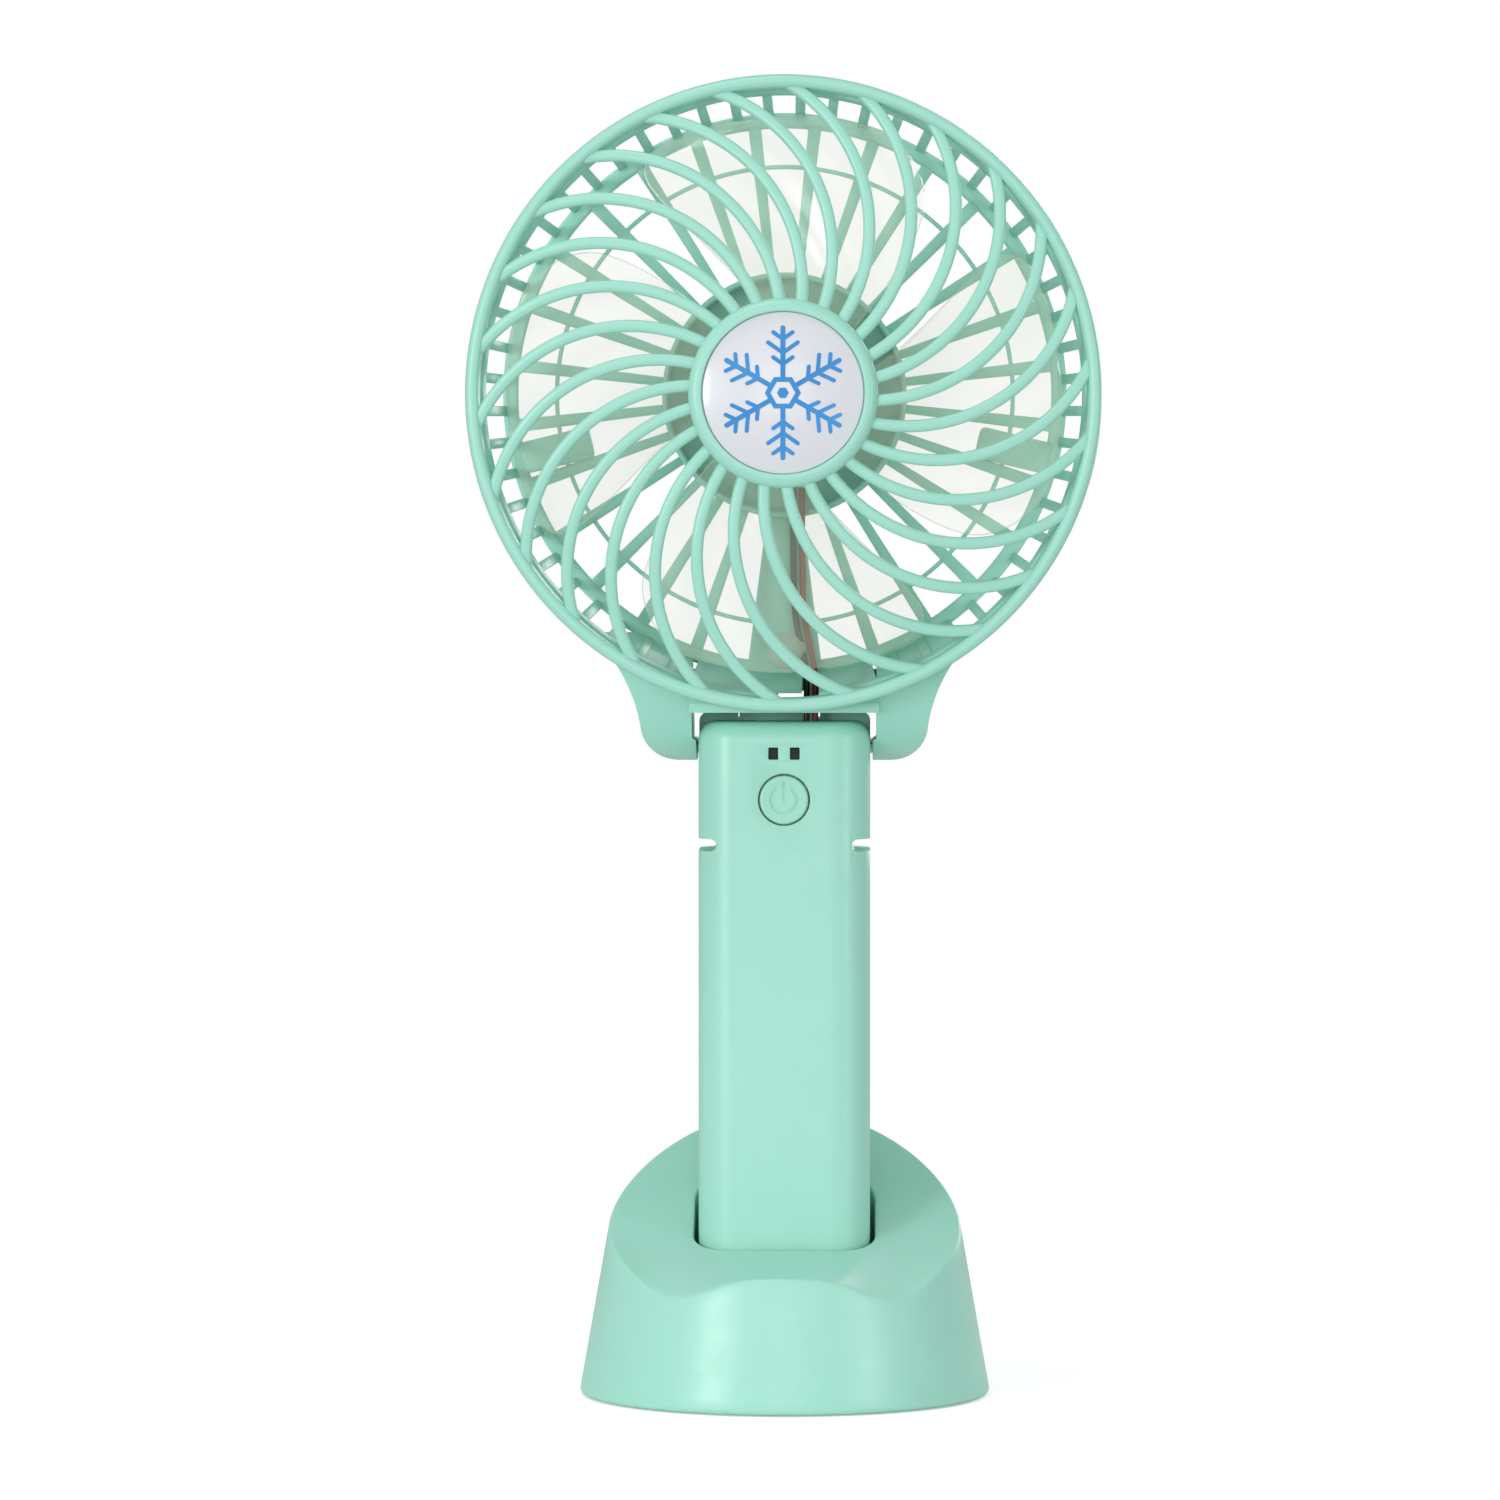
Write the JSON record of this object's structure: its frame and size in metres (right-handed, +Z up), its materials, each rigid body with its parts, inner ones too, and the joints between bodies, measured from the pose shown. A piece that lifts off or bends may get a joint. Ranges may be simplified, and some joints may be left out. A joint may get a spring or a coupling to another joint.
{
  "type": "handheld electric fan",
  "caption": "Folding handheld electric fan with spiral front guard, clear impeller and rounded handle, standing in a sloping desk base.",
  "frame": {"origin": "centre of the underside of the desk base, on the surface it stands on", "axes": "+X to the right of the fan seen from its front, the air blows towards -Y, +Z up"},
  "size_m": [0.1032, 0.0672, 0.2154],
  "materials": {
    "mint_plastic": "satin moulded ABS",
    "foot_rubber": "matt",
    "screw_steel": "bright",
    "cell_wrap": "shrink wrap",
    "contact_brass": "plated",
    "board_green": "solder mask",
    "black_plastic": "matt",
    "led_lens": "dark tinted",
    "wire_black": "vinyl",
    "wire_red": "vinyl",
    "badge_print": "pale disc with a printed snow crystal",
    "magnet_grey": "ferrite",
    "hot_glue": "cloudy glue",
    "clear_blade": "clear slightly milky moulding",
    "rotor_steel": "laminated"
  },
  "bodies": {
    "base": {"base_shell": "mint_plastic", "base_plate": "mint_plastic", "base_feet": "foot_rubber", "base_screws": "screw_steel"},
    "handle": {"handle_front_shell": "mint_plastic", "handle_rear_shell": "mint_plastic", "handle_screws": "screw_steel", "battery_cell": "cell_wrap", "battery_contact_plate": "contact_brass", "battery_spring_leaf": "contact_brass", "circuit_board": "board_green", "tact_switch": "black_plastic", "indicator_leds": "led_lens", "usb_socket": "screw_steel", "handle_wire_black": "wire_black", "handle_wire_red": "wire_red"},
    "button": {"power_button": "mint_plastic", "switch_plunger": "black_plastic"},
    "head": {"front_guard": "mint_plastic", "badge_disc": "badge_print", "rear_guard": "mint_plastic", "hinge_pins": "screw_steel", "motor_case": "screw_steel", "motor_end_cap": "black_plastic", "motor_terminals": "contact_brass", "motor_screws": "screw_steel", "motor_magnets": "magnet_grey", "head_wire_black": "wire_black", "head_wire_red": "wire_red", "wire_glue": "hot_glue"},
    "impeller": {"impeller": "clear_blade", "motor_shaft": "screw_steel", "motor_rotor": "rotor_steel"}
  },
  "joints": [
    {"name": "lift_out", "type": "slide", "parent": "base", "child": "handle", "axis": [0, 0, 1], "range_m": [0, 0.045]},
    {"name": "fold_hinge", "type": "hinge", "parent": "handle", "child": "head", "pos_m": [0, 0.007, 0.1062], "axis": [-1, 0, 0], "range_deg": [0, 150]},
    {"name": "impeller_spin", "type": "hinge", "parent": "head", "child": "impeller", "pos_m": [0, -0.014, 0.16375], "axis": [0, -1, 0], "continuous": true},
    {"name": "button_press", "type": "slide", "parent": "handle", "child": "button", "axis": [0, 1, 0], "range_m": [0, 0.0005], "stiffness_N_per_m": 2000}
  ]
}
